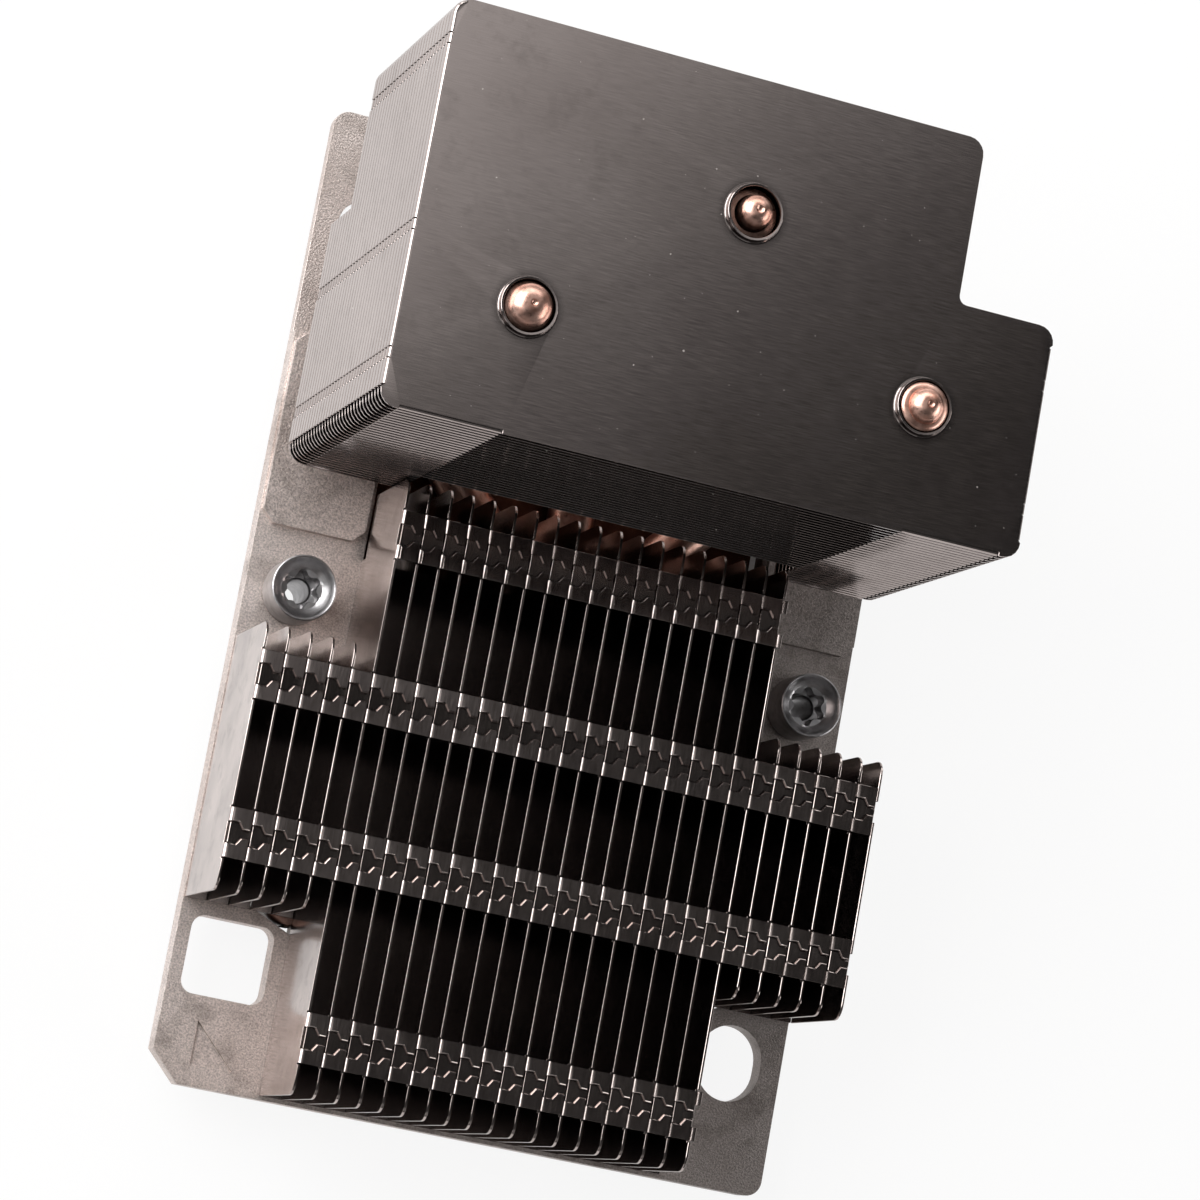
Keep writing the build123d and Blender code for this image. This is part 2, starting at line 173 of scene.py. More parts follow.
# the cast's side entry is painted shade: lighter at the left and darker to the right, as light from the left
# would make it
castLook = {
    "dark": "#e4d6cf", "light": "#f4e8e2", "dirt": "#9a8d85", "cloud": (16.0, 0.35, 0.68, 1.0),
    "smudge": (5.0, 0.52, 0.72, 0.6), "grainPerMm": (4.3, 4.3, 4.3), "grainTone": 0.42,
    "toneSpan": (0.36, 0.62), "rough": (0.4, 0.56), "bump": (0.8, 0.09), "side": ((-39.0, 39.0), (1.0, 0.4)),
}
copperLook = {
    "dark": "#d4a08d", "light": "#f0c8b8", "dirt": "#8f5a45", "cloud": (2.5, 0.35, 0.68, 1.0),
    "smudge": (1.2, 0.52, 0.72, 0.55), "grainPerMm": (1.8, 1.8, 1.8), "grainTone": 0.15, "rough": (0.24, 0.4),
    "bump": (0.15, 0.03), "occlusionShade": (14.0, ((0.28, 0.06), (0.55, 1.0))),
}
zincLook = {
    "dark": "#aba9aa", "light": "#c8c6c7", "dirt": "#777472", "cloud": (2.0, 0.35, 0.68, 1.0),
    "smudge": (1.2, 0.52, 0.72, 0.35), "grainPerMm": (0.9, 0.9, 12.0), "grainTone": 0.18, "rough": (0.27, 0.4),
    "bump": (0.15, 0.012),
}
# painted shade: the cold plate's copper is darkened to stand in for the shade in the carrier's window
plateLook = dict(copperLook, dark="#6b4636", light="#84584a", rough=(0.35, 0.5))
springLook = dict(zincLook, dark="#4c4d50", light="#5c5d60", rough=(0.4, 0.5))

slotMaterials = {
    "lower_fin_aluminium": metal("stamped_aluminium_sheet", stackLook),  # bright folds against dark gaps
    "tower_fin_aluminium": metal("brushed_aluminium_sheet", towerLook),  # fine lines along its width
    "cast_aluminium": metal("die_cast_aluminium", castLook),  # sandy dull grey skin with handling smudges
    "pipe_copper": metal("drawn_copper_tube", copperLook),  # shiny domes, dull in patches from soldering
    "cold_plate_copper": metal("milled_copper", plateLook),  # duller, darker copper
    "zinc_steel": metal("zinc_plated_steel", zincLook),  # neutral grey with turning marks round the head
    "spring_steel": metal("phosphated_spring_steel", springLook),  # dark and flat, under the carrier
}
slotOf = {row["node"]: row["material_slot"] for row in frame["record"]["subparts"]}
for name, node in frame["nodes"].items():
    node.data.materials.clear()
    node.data.materials.append(slotMaterials[slotOf[name]])
print("materials made:", len(slotMaterials))


# mesh helpers
def finish(name, bm, body, replaced, slotName, smooth, bevel=None, segments=1, thickness=None, sharpest=50):
    # turns a bmesh into a piece; millimetres in, metres out, and smooth is in degrees
    bmesh.ops.scale(bm, vec=(mm, mm, mm), verts=bm.verts)
    mesh = bpy.data.meshes.new(name)
    bm.to_mesh(mesh)
    bm.free()
    piece = bpy.data.objects.new(name, mesh)
    bpy.context.scene.collection.objects.link(piece)
    mesh.materials.append(slotMaterials[slotName])
    if thickness:
        solid = piece.modifiers.new("thickness", "SOLIDIFY")
        solid.thickness = thickness * mm
        solid.offset = 0
        solid.use_even_offset = True
    if bevel:
        edge = piece.modifiers.new("edge", "BEVEL")
        edge.width = bevel * mm
        edge.segments = segments
        edge.limit_method = "ANGLE"
        edge.angle_limit = math.radians(sharpest)
    for polygon in mesh.polygons:
        polygon.use_smooth = True
    bpy.context.view_layer.objects.active = piece
    piece.select_set(True)
    for modifier in list(piece.modifiers):
        bpy.ops.object.modifier_apply(modifier=modifier.name)
    bpy.ops.object.shade_smooth_by_angle(angle=math.radians(smooth))
    normals = piece.modifiers.new("normals", "WEIGHTED_NORMAL")  # keeps large flats flat beside their folds
    normals.weight = 100
    normals.keep_sharp = True
    bpy.ops.object.modifier_apply(modifier="normals")
    piece.select_set(False)
    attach(piece, body)
    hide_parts(*replaced)


def arcPoints(cx, cy, radius, start, end, steps):
    angles = [math.radians(start + (end - start) * i / steps) for i in range(steps + 1)]
    return [(cx + radius * math.cos(a), cy + radius * math.sin(a)) for a in angles]


def keyOf(a, b):
    # one name for a point, however it was worked out
    return round(a, 3), round(b, 3)


def strip(bm, rows):
    # quads between rows of vertices with the same count
    for low, high in zip(rows, rows[1:]):
        for i in range(len(low) - 1):
            bm.faces.new((low[i], low[i + 1], high[i + 1], high[i]))


# lower fins
stack = {
    "firstX": -38.7, "pitch": 2.69, "height": 16.9, "corner": 1.9, "cornerSteps": 6,
    "foldRadius": 0.24, "foldSteps": 5, "notchDepth": 0.75, "nick": 0.2,
    "rows": (-53.3, -31.8, -13.0, 6.9),  # middles of the four zip rows
    "padStart": 1.3, "padEnd": 2.95, "neck": 0.5, "padFlat": 0.45, "straight": 1.15, "slant": 0.55,
    "lip": 0.1, "stub": 0.58, "burr": (0.14, 0.06), "rearTilt": (0.11, 0.055),  # burr: width and rise
    "tongueHalf": (1.2, 0.4), "tongueCuts": (-1, -0.4, 0.4, 1), "tongueDrop": 0.12, "tongueTip": (0.22, 0.7),
    "tongueRun": ((0.1, 0.0), (1.08, -0.12), (1.63, -0.2), (2.5, -0.28)),  # reach and dip
    "long": (-60.0, 13.8), "short": (-38.6, -6.6), "longCount": 19, "shortCount": 5,
    "reliefY": 5.8, "reliefHeight": 1.9, "footShort": 1.1, "footGap": 0.05, "bevel": 0.065, "smooth": 17,
}


def addPad(bm, x, row, side, root, top, stub):
    # one folded tab: round the fold, then a flat pad with a burr along its slanted mouth
    radius, steps = stack["foldRadius"], stack["foldSteps"]
    inner, outer, neck = stack["padStart"], stack["padEnd"], stack["neck"]
    width, rise = stack["burr"]
    cuts = (inner, inner + width, outer)
    level = top - sheet / 2
    rows = [root]
    for i in range(1, steps + 1):
        angle = math.pi / 2 * i / steps
        px = x + radius - radius * math.cos(angle)
        pz = level - radius + radius * math.sin(angle)
        rows.append([bm.verts.new((px, row + side * w, pz)) for w in cuts])
    if stub:
        rows.append([bm.verts.new((x + stack["stub"], row + side * w, level)) for w in cuts])
        strip(bm, rows)
        return
    straight = stack["straight"]
    reach = stack["pitch"] - sheet / 2
    plan = (
        (stack["padFlat"], inner), (straight, inner), (straight + stack["slant"], neck),
        (reach - stack["lip"], neck), (reach, neck),
    )
    for u, edge in plan:
        lift = 0 if u == reach else rise
        # the last row of pads was pressed slightly out of level
        tilt = stack["rearTilt"][side > 0] * side * (outer - edge) if row == stack["rows"][-1] else 0
        places = ((edge, lift), (edge + width, 0), (outer, -tilt))
        rows.append([bm.verts.new((x + u, row + side * w, level + up)) for w, up in places])
    strip(bm, rows)


def addTongue(bm, x, row, top):
    # the middle of a zip row: a lower leaf that slips under the next fin's mouth
    level = top - sheet / 2 - stack["tongueDrop"]
    wide, thin = stack["tongueHalf"]
    (start, a), (bend, b), (narrow, c), (end, d) = stack["tongueRun"]
    more, taper = stack["tongueTip"]
    plan = ((start, wide, a), (bend, wide, b), (narrow, thin, c), (end, thin, d), (end + more, thin * taper, d))
    rows = []
    for u, half, dip in plan:
        rows.append([bm.verts.new((x + u, row + w * half, level + dip)) for w in stack["tongueCuts"]])
    strip(bm, rows)


def makeStackFin(name, index, span, rows, relieved=False, stubRows=(), tabbed=True):
    x = stack["firstX"] + index * stack["pitch"]
    front, rear = span
    top = plateTop + stack["height"]
    corner, cornerSteps = stack["corner"], stack["cornerSteps"]
    foldZ = top - sheet / 2 - stack["foldRadius"]
    low = top - stack["notchDepth"]
    footZ = plateTop + sheet / 2
    near, far = stack["padStart"], stack["padEnd"]
    middle, nick = near + stack["burr"][0], far + stack["nick"]
    tab = ((near, low), (near, foldZ), (middle, foldZ), (far, foldZ), (far, low), (nick, low), (nick, top))
    # outline as (y, z), from the front foot up and along the top
    outline = [(front, footZ)] + arcPoints(front + corner, top - corner, corner, 180, 90, cornerSteps)
    pads = []
    for row in rows:
        if tabbed:
            for side in (-1, 1):
                run = [(row + side * w, z) for w, z in tab]
                outline += run[::side]
                pads.append((row, side, run[1:4]))
        else:
            outline += [(row - near, top), (row - near, low), (row + near, low), (row + near, top)]
    outline += arcPoints(rear - corner, top - corner, corner, 90, 0, cornerSteps)
    if relieved:
        footEnd = stack["reliefY"]
        reliefZ = plateTop + stack["reliefHeight"]
        outline += [(rear, reliefZ), (footEnd, reliefZ), (footEnd, footZ)]
    else:
        footEnd = rear - stack["footShort"]
        outline += [(rear, footZ), (footEnd, footZ)]
    bm = bmesh.new()
    verts = {}
    ring = []
    for y, z in outline:
        if keyOf(y, z) not in verts:
            verts[keyOf(y, z)] = bm.verts.new((x, y, z))
        ring.append(verts[keyOf(y, z)])
    edges = [bm.edges.new((ring[i - 1], ring[i])) for i in range(len(ring))]
    bmesh.ops.triangle_fill(bm, use_beauty=True, use_dissolve=False, edges=edges)
    for row, side, root in pads:
        addPad(bm, x, row, side, [verts[keyOf(*point)] for point in root], top, row in stubRows)
    if tabbed:
        for row in rows:
            if row not in stubRows:
                addTongue(bm, x, row, top)
        # soldered foot along the plate
        reach = stack["pitch"] - sheet / 2 - stack["footGap"]
        ends = [verts[keyOf(front, footZ)], verts[keyOf(footEnd, footZ)]]
        strip(bm, [ends, [bm.verts.new((x + reach, v.co.y, footZ)) for v in ends]])
    bmesh.ops.recalc_face_normals(bm, faces=bm.faces)
    finish(name.replace("fin", "folded_fin"), bm, "heatsink", [name], "lower_fin_aluminium", stack["smooth"],
           bevel=stack["bevel"], thickness=sheet)


allRows, middleRows = stack["rows"], stack["rows"][1:3]
longs, shorts = stack["longCount"], stack["shortCount"]
for number in range(shorts):
    makeStackFin(f"short_fin_left_{number + 1}", number, stack["short"], middleRows)
for number in range(longs):
    # the last long fin has no neighbour at its outer rows
    stubs = (allRows[0], allRows[-1]) if number == longs - 1 else ()
    makeStackFin(f"long_fin_{number + 1:02d}", shorts + number, stack["long"], allRows, True, stubs)
for number in range(shorts):
    makeStackFin(f"short_fin_right_{number + 1}", shorts + longs + number, stack["short"], middleRows)
makeStackFin("end_fin", 2 * shorts + longs, stack["short"], middleRows, tabbed=False)
print("lower fins made:", 2 * shorts + longs + 1)

# fin tower
tower = {
    "left": -38.67, "right": 38.6, "front": 13.97, "rear": 61.5, "stepX": 26.27, "stepY": 41.75,
    "corner": 2.0, "cornerSteps": 5, "stepCorner": 1.0, "stepSteps": 4,
    "height": 51.0, "pitch": 1.322, "full": 25, "split": 7,
    "foldRadius": 0.36, "foldSteps": 4, "gap": 0.15, "frontLean": 0.14, "wing": 14.5, "start": 2.4,
    "zipRows": (20.0, 34.8, 56.6), "zipHalf": 0.7, "zipTab": 0.58, "zipInset": 0.02, "slitDepth": 0.35,
    "tabGap": 0.5, "wingCorner": 0.4, "lap": 4.6, "lapFront": 22.0, "notchY": 44.2,
    "cornerTurn": 110, "turnSteps": (2, 6),  # the flange starts this far round the rear left corner
    "pipes": ((-24.0, 28.7), (0.0, 45.85), (24.0, 28.7)), "hole": 3.0, "holeSides": 48,
    "collar": ((3.62, 0.0), (3.42, 0.05), (3.27, 0.2), (3.2, 0.42), (3.17, 1.0)),  # radius and rise
    "bevel": 0.04, "smooth": 20,
}


def holePoints(x, y, radius):
    sides = tower["holeSides"]
    return arcPoints(x, y, radius, 0, 360 - 360 / sides, sides - 1)


def addFlange(bm, ends, outward, level, gap):
    # folds an edge path of the sheet down over its own radius; outward holds one direction per vertex
    radius, steps = tower["foldRadius"], tower["foldSteps"]
    drop = tower["pitch"] - gap - sheet / 2
    facesFront = outward[0].y < -0.9
    rows = [ends]
    starts = [v.co.copy() for v in ends]
    for i in range(1, steps + 1):
        angle = math.pi / 2 * i / steps
        down = Vector((0, 0, radius * math.cos(angle) - radius))
        out = radius * math.sin(angle)
        rows.append([bm.verts.new(a + way * out + down) for a, way in zip(starts, outward)])
    reach = radius - (tower["frontLean"] if facesFront else 0)
    rows.append([bm.verts.new(a + way * reach + Vector((0, 0, -drop))) for a, way in zip(starts, outward)])
    strip(bm, rows)


def foldLine(fixed, outward, inset):
    # where the fold starts, so that the flange's outer face comes to the edge
    return fixed - outward * (tower["foldRadius"] + sheet / 2 + inset)


def flangedRun(axis, fixed, spans, outward):
    # outline points of one flanged edge, set back by the fold radius inside each span
    edge = fixed - outward * tower["slitDepth"] if len(spans) > 2 else fixed
    points = []
    for start, end, inset in spans:
        inner = foldLine(fixed, outward, inset)
        for along, across in ((start, edge), (start, inner), (end, inner), (end, edge)):
            points.append((across, along) if axis == "y" else (along, across))
    return points


def splitSpan(start, end):
    # the flange is broken at each zip row, where a narrower tab is set a little deeper
    half, tab, inset = tower["zipHalf"], tower["zipTab"], tower["zipInset"]
    spans = []
    for cut in tower["zipRows"]:
        if start < cut < end:
            spans += [(start, cut - half, 0.0), (cut - tab, cut + tab, inset)]
            start = cut + half
    return spans + [(start, end, 0.0)]


def fullOutline():
    # outline of a full sheet, with its flanged edges and pipe holes
    left, right, front, rear = tower["left"], tower["right"], tower["front"], tower["rear"]
    stepX, stepY, start, wing = tower["stepX"], tower["stepY"], tower["start"], tower["wing"]
    radius, steps, small = tower["corner"], tower["cornerSteps"], tower["stepCorner"]
    turn, (turnSteps, flangeSteps) = tower["cornerTurn"], tower["turnSteps"]
    leftWall = splitSpan(front + start, rear - radius)
    rightWall = splitSpan(front + start, stepY - start)
    wings = ((left + start, left + wing, 0.0), (right - wing, right - start, 0.0))
    back = tower["foldRadius"] + sheet / 2
    centre = (left + radius, rear - radius)
    corner = arcPoints(*centre, radius - back, turn, 180, flangeSteps)
    points = arcPoints(left + radius, front + radius, radius, 180, 270, steps)
    for span in wings:
        points += flangedRun("x", front, [span], -1)
    points += arcPoints(right - radius, front + radius, radius, 270, 360, steps)
    points += flangedRun("y", right, rightWall, 1)
    points += arcPoints(right - radius, stepY - radius, radius, 0, 90, steps)
    points += arcPoints(stepX + small, stepY + small, small, 270, 180, tower["stepSteps"])
    points += arcPoints(stepX - radius, rear - radius, radius, 0, 90, steps)
    points += arcPoints(*centre, radius, 90, turn, turnSteps) + corner[:-1]
    points += flangedRun("y", left, [(b, a, inset) for a, b, inset in reversed(leftWall)], -1)[1:]
    flanges = [("y", left, span, -1) for span in leftWall[:-1]] + [("y", right, span, 1) for span in rightWall]
    flanges += [("x", front, span, -1) for span in wings]
    # one flange along the last stretch of the left wall and round the rear corner
    flanges += [("corner", corner + [(left + back, leftWall[-1][0])], centre, 1)]
    return points, flanges, tower["pipes"]


def wingOutline(side):
    # outline of one low sheet beside the lower stack, with its flanged edges and pipe hole
    left, right, front, start = tower["left"], tower["right"], tower["front"], tower["start"]
    radius, nip = tower["corner"], tower["wingCorner"]
    outer, back = (left, tower["notchY"]) if side < 0 else (right, tower["stepY"])
    wall = splitSpan(front + start, back - nip)
    innerFront = outer - side * tower["wing"]
    innerRear = innerFront - side * tower["lap"]
    ends = (*sorted((outer - side * start, innerFront)), 0.0)
    points = arcPoints(right - radius, front + radius, radius, 270, 360, tower["cornerSteps"])
    points += flangedRun("y", right, wall, 1) + [(right - nip, back)]
    if side < 0:
        points = [(left + right - x, y) for x, y in points]
    lapY = tower["lapFront"]
    points += [(innerRear, back), (innerRear, lapY), (innerFront, lapY - tower["lap"] / 2)]
    points += flangedRun("x", front, [ends], -1)[::side][1:]
    flanges = [("y", outer, span, side) for span in wall] + [("x", front, ends, -1)]
    return points, flanges, [tower["pipes"][0 if side < 0 else 2]]


def makeSheets(name, parts, levels, replaced, collared=False):
    points, flanges, holes = parts
    level = plateTop + tower["height"] - sheet / 2
    bm = bmesh.new()
    radius = tower["collar"][0][0] if collared else tower["hole"]
    edges, rings = [], []
    for loop in [points] + [holePoints(x, y, radius) for x, y in holes]:
        ring = [bm.verts.new((x, y, level)) for x, y in loop]
        edges += [bm.edges.new((ring[i - 1], ring[i])) for i in range(len(ring))]
        rings.append(ring)
    bmesh.ops.triangle_fill(bm, use_beauty=True, use_dissolve=False, edges=edges)
    if collared:
        # drawn collars that hold the pipes
        for (x, y), ring in zip(holes, rings[1:]):
            rows = [ring + ring[:1]]
            for radius, rise in tower["collar"][1:]:
                turned = [bm.verts.new((a, b, level + rise)) for a, b in holePoints(x, y, radius)]
                rows.append(turned + turned[:1])
            strip(bm, rows)
    lookup = {keyOf(v.co.x, v.co.y): v for v in rings[0]}
    for axis, fixed, span, outward in flanges:
        gap = tower["gap"]
        if axis == "corner":  # here fixed is the edge path and span its centre
            pairs = fixed
            ways = [Vector((a - span[0], max(b - span[1], 0), 0)).normalized() for a, b in pairs]
        else:
            start, end, inset = span
            inner = foldLine(fixed, outward, inset)
            pairs = [(inner, start), (inner, end)] if axis == "y" else [(start, inner), (end, inner)]
            ways = [Vector((outward, 0, 0)) if axis == "y" else Vector((0, outward, 0))] * 2
            gap = tower["tabGap"] if inset else gap
        addFlange(bm, [lookup[keyOf(a, b)] for a, b in pairs], ways, level, gap)
    pile = bmesh.new()
    for step in levels:
        mesh = bpy.data.meshes.new("level")
        bm.to_mesh(mesh)
        mesh.transform(Matrix.Translation((0, 0, -step * tower["pitch"])))
        pile.from_mesh(mesh)
        bpy.data.meshes.remove(mesh)
    bm.free()
    bmesh.ops.recalc_face_normals(pile, faces=pile.faces)
    finish(name, pile, "heatsink", replaced, "tower_fin_aluminium", tower["smooth"], bevel=tower["bevel"],
           thickness=sheet)


fullLevels = range(1, tower["full"] + 1)
lowLevels = range(tower["full"] + 1, tower["full"] + tower["split"] + 1)
makeSheets("tower_top_folded", fullOutline(), [0], ["tower_top_sheet"], collared=True)
makeSheets("tower_sheets_folded", fullOutline(), fullLevels, ["tower_sheets"])
makeSheets("tower_wings_left_folded", wingOutline(-1), lowLevels, ["tower_wing_sheets_left"])
makeSheets("tower_wings_right_folded", wingOutline(1), lowLevels, ["tower_wing_sheets_right"])
print("tower made:", 1 + tower["full"] + tower["split"], "levels")

# heat pipes
pipe = {
    "radius": 2.95, "flatHalf": (3.75, 1.5), "height": 5.5, "neck": 58.5, "bend": 10.5,
    "sides": 36, "bendSteps": 12, "planBend": 7.0, "planSteps": 6, "openSteps": 6, "squareness": 4,
    "capSteps": 6, "capStart": 6, "capTall": 0.3, "smooth": 50,  # the front end starts capStart degrees round
    "endX": 25.9, "endY": -35.9, "splayY": -31.0, "coreX": 8.5, "coreY": -14.0, "coreEnd": 5.8,
    "round": (9.8, 12.2),  # where the section is fully round again
    # side, place in the tower, and the spun end as rise and radius
    "left": (-1, tower["pipes"][0], (
        (0.0, 2.93), (0.25, 2.62), (0.75, 2.5), (1.3, 2.3), (1.8, 1.85), (2.15, 1.2), (2.27, 0.62),
        (2.26, 0.42), (2.1, 0.3), (2.0, 0.12))),
    "middle": (0, tower["pipes"][1], (
        (-0.9, 2.93), (-0.8, 2.2), (-0.4, 2.0), (0.5, 1.95), (1.1, 1.75), (1.6, 1.3), (1.85, 0.8), (1.9, 0.5),
        (1.78, 0.36), (1.65, 0.12))),
    "right": (1, tower["pipes"][2], (
        (0.0, 2.93), (0.35, 2.85), (0.55, 2.5), (0.62, 2.1), (1.2, 2.0), (1.7, 1.72), (2.1, 1.2), (2.3, 0.7),
        (2.3, 0.45), (2.12, 0.32), (2.05, 0.12))),
}


def roundedPath(points, radius, steps):
    # plan polyline with its inner corners turned into arcs
    path = [Vector(points[0])]
    for before, corner, after in zip(points, points[1:], points[2:]):
        before, corner, after = Vector(before), Vector(corner), Vector(after)
        inward, outward = (before - corner).normalized(), (after - corner).normalized()
        half = inward.angle(outward) / 2
        reach = radius / math.tan(half)
        start, end = corner + inward * reach, corner + outward * reach
        centre = corner + (inward + outward).normalized() * radius / math.sin(half)
        for i in range(steps + 1):
            spot = start.lerp(end, i / steps) - centre
            path.append(centre + spot.normalized() * radius)
    path.append(Vector(points[-1]))
    return path


def pipeRing(bm, centre, across, up, wide, tall):
    # stadium or round section, depending on its two half sizes
    ring = []
    for i in range(pipe["sides"]):
        angle = 2 * math.pi * i / pipe["sides"]
        flat = (wide - tall) * max(-1, min(1, pipe["squareness"] * math.cos(angle)))
        spot = centre + across * (tall * math.cos(angle) + flat) + up * tall * math.sin(angle)
        ring.append(bm.verts.new(spot))
    return ring + ring[:1]


def makePipe(name):
    side, (x, y), tip = pipe[name]
    wide, tall = pipe["flatHalf"]
    level, radius, bend = pipe["height"], pipe["radius"], pipe["bend"]
    upward = Vector((0, 0, 1))
    if side:
        corners = (
            (pipe["endX"], pipe["endY"]), (pipe["endX"], pipe["splayY"]),
            (pipe["coreX"], pipe["coreY"]), (pipe["coreX"], pipe["coreEnd"]),
        )
        plan = roundedPath([(side * a, b, level) for a, b in corners], pipe["planBend"], pipe["planSteps"])
    else:
        plan = [Vector((0, pipe["endY"], level)), Vector((0, pipe["coreEnd"], level))]
    bm = bmesh.new()
    rings = []
    first = (plan[1] - plan[0]).normalized()
    for i in range(pipe["capSteps"] + 1):
        turn = math.radians(pipe["capStart"] + (90 - pipe["capStart"]) * i / pipe["capSteps"])
        centre = plan[0] - first * wide * math.cos(turn)
        half = max(wide * math.sin(turn), tall * pipe["capTall"])
        rings.append(pipeRing(bm, centre, first.cross(upward), upward, half, tall))
    bm.faces.new(rings[0][:-1])
    for i in range(1, len(plan)):
        heading = (plan[min(i + 1, len(plan) - 1)] - plan[i - 1]).normalized()
        rings.append(pipeRing(bm, plan[i], heading.cross(upward), upward, wide, tall))
    start = Vector((side * pipe["round"][0], pipe["round"][1], level))
    foot = Vector((x, y, level))
    heading = (foot - start).normalized()
    for i in range(1, pipe["openSteps"] + 1):  # the flat section opens out into the round one
        share = i / pipe["openSteps"]
        ease = share * share * (3 - 2 * share)
        way = Vector((0, 1, 0)).lerp(heading, ease).normalized()
        size = (wide + (radius - wide) * ease, tall + (radius - tall) * ease)
        rings.append(pipeRing(bm, plan[-1].lerp(start, share), way.cross(upward), upward, *size))
    across = heading.cross(upward)
    turnCentre = foot - heading * bend + upward * bend
    for i in range(pipe["bendSteps"] + 1):
        angle = math.pi / 2 * i / pipe["bendSteps"]
        centre = turnCentre + (heading * math.sin(angle) - upward * math.cos(angle)) * bend
        up = upward * math.cos(angle) - heading * math.sin(angle)
        rings.append(pipeRing(bm, centre, across, up, radius, radius))
    for rise, reach in tip:
        rings.append(pipeRing(bm, Vector((x, y, pipe["neck"] + rise)), across, -heading, reach, reach))
    bm.faces.new(rings[-1][:-1])
    strip(bm, rings)
    bmesh.ops.recalc_face_normals(bm, faces=bm.faces)
    finish(f"heat_pipe_{name}_drawn", bm, "heatsink", [f"heat_pipe_{name}"], "pipe_copper", pipe["smooth"])


for name in ("left", "middle", "right"):
    makePipe(name)
print("heat pipes made")

# captive nuts, as radius and height round their axis
nut = {
    "x": 32.9, "y": 0.0, "segments": 96, "lobes": 6, "lobeRadius": 2.45, "rootRadius": 1.8, "lobeTurn": 37.0,
    "lobeShape": 0.75, "smooth": 28,
    "outside": ((1.45, 0.8), (2.5, 0.8), (2.7, 1.0), (2.7, 7.25), (2.8, 7.3), (3.8, 7.3), (4.0, 7.5),
                (4.0, 12.4), (3.95, 12.53), (3.85, 12.6), (3.77, 12.6)),
    "dish": ((3.66, 12.52), (3.45, 12.1), (3.1, 11.65), (2.75, 11.3), (2.51, 11.1)),
    "socket": ((0.0, 11.06), (0.06, 10.9), (0.06, 9.0)),  # set in from the lobed line, and height
    "bore": ((1.72, 8.9), (1.62, 8.9), (1.5, 8.6), (1.45, 8.5)),
}


def lobeReach(angle):
    mean = (nut["lobeRadius"] + nut["rootRadius"]) / 2
    swing = (nut["lobeRadius"] - nut["rootRadius"]) / 2
    wave = math.cos(nut["lobes"] * (angle - math.radians(nut["lobeTurn"])))
    return mean + swing * math.copysign(abs(wave) ** nut["lobeShape"], wave)


def makeNut(name, side):
    # turned outside, coned dish, six-lobe socket and through bore, all as rings round one axis
    profile = [(False, *point) for point in nut["outside"] + nut["dish"]]
    profile += [(True, *point) for point in nut["socket"]]
    profile += [(False, *point) for point in nut["bore"]]
    bm = bmesh.new()
    rings = []
    for lobed, size, z in profile:
        ring = []
        for i in range(nut["segments"]):
            angle = 2 * math.pi * i / nut["segments"]
            reach = lobeReach(angle) - size if lobed else size
            x, y = side * nut["x"] + reach * math.cos(angle), nut["y"] + reach * math.sin(angle)
            ring.append(bm.verts.new((x, y, z)))
        rings.append(ring + ring[:1])
    strip(bm, rings + rings[:1])
    bmesh.ops.recalc_face_normals(bm, faces=bm.faces)
    replaced = [f"captive_nut_{name}"]
    finish(f"captive_nut_{name}_turned", bm, f"nut_{name}", replaced, "zinc_steel", nut["smooth"])


makeNut("left", -1)
makeNut("right", 1)
print("nuts made")

# carrier; weld is in metres, flat and smooth in degrees
carrier = {"soften": 0.3, "segments": 2, "weld": 1e-6, "flat": 1, "smooth": 30}


def makeCarrier():
    # a copy of the solid's own mesh with its edges rounded off
    source = frame["nodes"]["carrier_plate"]
    bm = bmesh.new()
    bm.from_mesh(source.data)
    bm.transform(source.matrix_world)
    bmesh.ops.remove_doubles(bm, verts=bm.verts, dist=carrier["weld"])
    flat = math.radians(carrier["flat"])
    bmesh.ops.dissolve_limit(bm, angle_limit=flat, verts=bm.verts, edges=bm.edges)
    bmesh.ops.scale(bm, vec=(1 / mm, 1 / mm, 1 / mm), verts=bm.verts)
    finish("carrier_cast", bm, "heatsink", ["carrier_plate"], "cast_aluminium", carrier["smooth"],
           bevel=carrier["soften"], segments=carrier["segments"])


makeCarrier()
print("carrier made")

# floor, light, camera
studio = {
    "floorSize": 6.0, "paper": ("#efeeed", "#f4f3f2"), "paperNoise": (900.0, 4.0, 0.55),
    "paperRough": 0.9, "paperShine": 0.1,
    "seenBy": (("Is Camera Ray", 0.88), ("Is Glossy Ray", 0.65), ("Is Transmission Ray", 0.65)),
    # no glow from the floor right under the body: ranges of x and y in mm
    "under": (((-30.0, 27.0), (-39.2, 40.0)), ((-24.2, 27.0), (-43.0, 40.0)), ((0.0, 34.0), (-37.5, 40.0))),
    "skyWay": (-0.745, 0.667, 0.0),
    "sky": ((0.2, 0.07), (0.38, 0.02), (0.45, 0.04), (0.475, 0.095), (0.5, 0.32), (0.52, 0.75), (0.56, 0.85),
            (0.6, 0.4), (0.66, 0.08), (0.74, 0.12), (0.86, 0.55), (1.0, 0.75)),
    "aim": (0.0, 0.0, 0.02),
    # place and size in metres, and watts
    "softboxes": {
        "left": ((-0.62, 0.26, 0.45), (0.9, 0.7), 10.0), "right": ((0.85, -0.1, 0.4), (0.8, 0.4), 3.5),
        "front": ((-0.1, -0.95, 0.45), (1.0, 0.5), 0.3), "back": ((0.0, 0.95, 0.55), (1.0, 0.5), 4.0),
    },
    "lens": 127.17, "viewFrom": (-0.139095, -0.084831, 0.502518),
    "viewTurn": (0.9809358, 0.0747809, -0.1479949, 0.1013426),
}


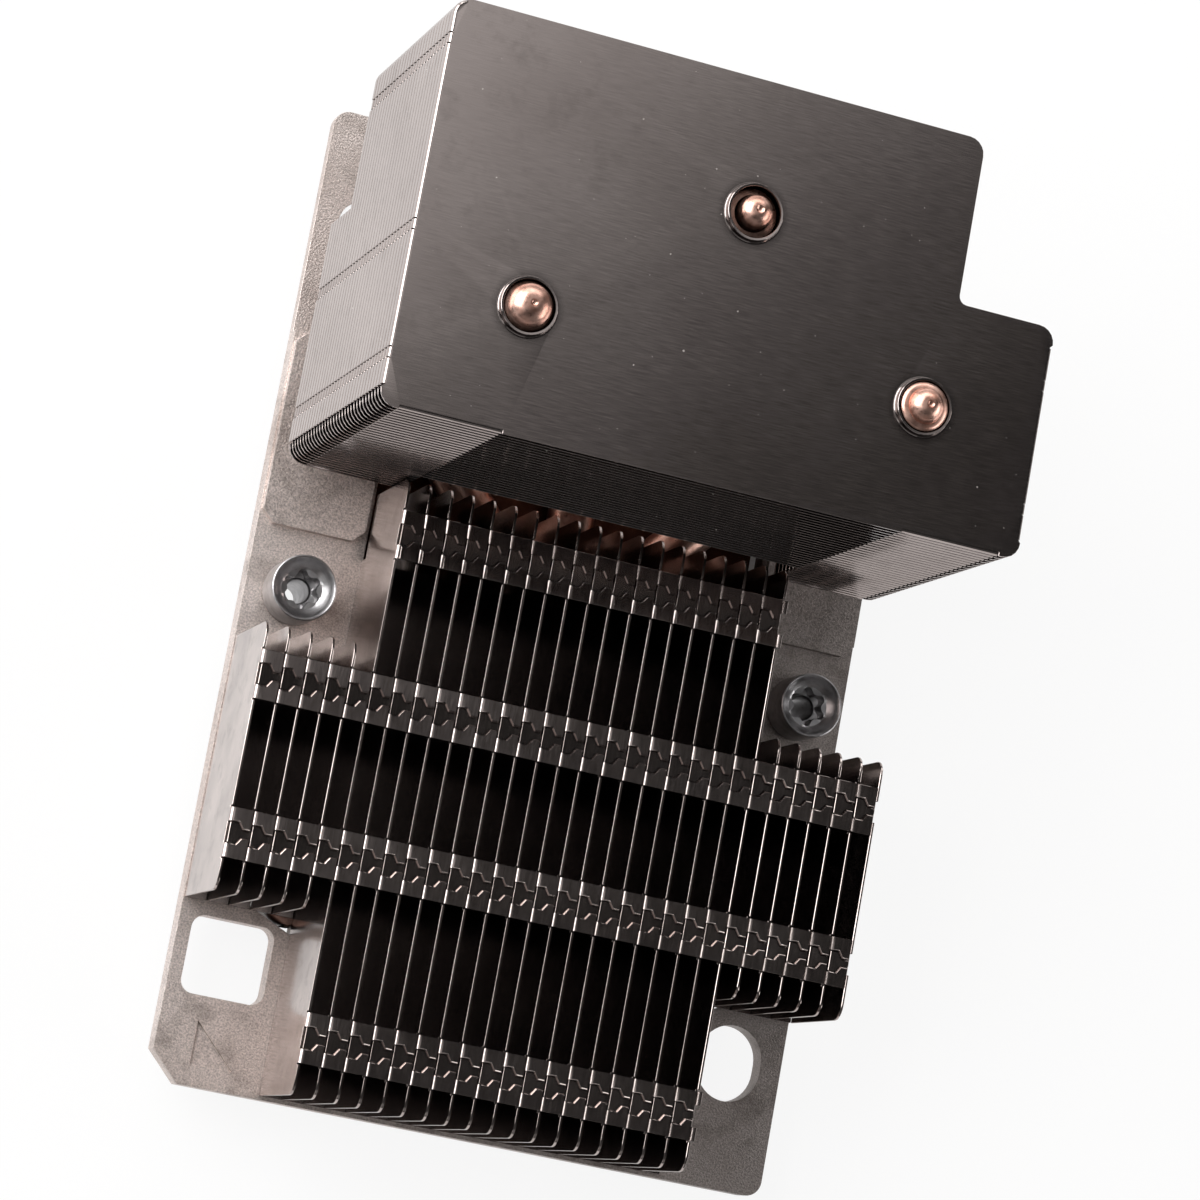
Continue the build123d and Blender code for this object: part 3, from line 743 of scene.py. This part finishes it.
def paperMaterial():
    # matt white paper: no gloss, a faint mottle, and white to the camera and in reflections
    mat, tree = newMaterial("matt_white_paper")
    place = addNode(tree, "ShaderNodeTexCoord").outputs["Object"]
    scale, detail, ragged = studio["paperNoise"]
    links = {"Vector": place, "Scale": scale, "Detail": detail, "Roughness": ragged}
    dark, light = studio["paper"]
    links = {0: addNode(tree, "ShaderNodeTexNoise", links), 6: toLinear(dark), 7: toLinear(light)}
    tone = addNode(tree, "ShaderNodeMix", links, data_type="RGBA").outputs[2]
    links = {"Base Color": tone, "Roughness": studio["paperRough"], "Specular IOR Level": studio["paperShine"]}
    shader = addNode(tree, "ShaderNodeBsdfPrincipled", links)
    path = addNode(tree, "ShaderNodeLightPath")
    seen = 0.0
    for ray, strength in studio["seenBy"]:
        share = addNode(tree, "ShaderNodeMath", {0: path.outputs[ray], 1: strength}, operation="MULTIPLY")
        seen = addNode(tree, "ShaderNodeMath", {0: seen, 1: share}, operation="MAXIMUM")
    spot = addNode(tree, "ShaderNodeSeparateXYZ", {0: place})
    for ranges in studio["under"]:
        inside = 1.0
        for axis, (near, far) in zip("XY", ranges):
            links = {0: spot.outputs[axis], 1: (near + far) / 2 * mm, 2: (far - near) / 2 * mm}
            within = addNode(tree, "ShaderNodeMath", links, operation="COMPARE")
            inside = addNode(tree, "ShaderNodeMath", {0: inside, 1: within}, operation="MULTIPLY")
        seen = addNode(tree, "ShaderNodeMath", {0: seen, 1: inside}, operation="SUBTRACT", use_clamp=True)
    white = addNode(tree, "ShaderNodeEmission", {"Strength": 1.0})
    both = addNode(tree, "ShaderNodeMixShader", {"Fac": seen, 1: shader, 2: white})
    addNode(tree, "ShaderNodeOutputMaterial", {"Surface": both})
    return mat


bm = bmesh.new()
bmesh.ops.create_grid(bm, x_segments=1, y_segments=1, size=studio["floorSize"] / 2)
floorMesh = bpy.data.meshes.new("floor")
bm.to_mesh(floorMesh)
bm.free()
floorMesh.materials.append(paperMaterial())
floor = bpy.data.objects.new("floor", floorMesh)
bpy.context.scene.collection.objects.link(floor)

for name, (place, size, watts) in studio["softboxes"].items():
    light = bpy.data.lights.new(f"softbox_{name}", "AREA")
    light.shape = "RECTANGLE"
    light.size, light.size_y = size
    light.energy = watts
    box = bpy.data.objects.new(f"softbox_{name}", light)
    box.location = place
    box.rotation_euler = (Vector(studio["aim"]) - Vector(place)).to_track_quat("-Z", "Y").to_euler()
    bpy.context.scene.collection.objects.link(box)

world = bpy.data.worlds.new("studio")
bpy.context.scene.world = world
world.use_nodes = True
tree = world.node_tree
tree.nodes.clear()
way = addNode(tree, "ShaderNodeTexCoord").outputs["Generated"]
along = addNode(tree, "ShaderNodeVectorMath", {0: way, 1: studio["skyWay"]}, operation="DOT_PRODUCT")
links = {"Value": along.outputs["Value"], "From Min": -1.0, "From Max": 1.0}
band = addNode(tree, "ShaderNodeMapRange", links)
sky = addNode(tree, "ShaderNodeValToRGB", {"Fac": band}, studio["sky"])  # dark room, a light band up to the left
backdrop = addNode(tree, "ShaderNodeBackground", {"Color": sky, "Strength": 1.0})
addNode(tree, "ShaderNodeOutputWorld", {"Surface": backdrop})

camera = bpy.data.cameras.new("camera")
camera.sensor_width = 36.0
camera.lens = studio["lens"]
camera.clip_start = 0.01
viewer = bpy.data.objects.new("camera", camera)
viewer.location = studio["viewFrom"]
viewer.rotation_mode = "QUATERNION"
viewer.rotation_quaternion = studio["viewTurn"]
bpy.context.scene.collection.objects.link(viewer)
bpy.context.scene.camera = viewer
bpy.context.scene.view_settings.view_transform = "Standard"
print("studio made")
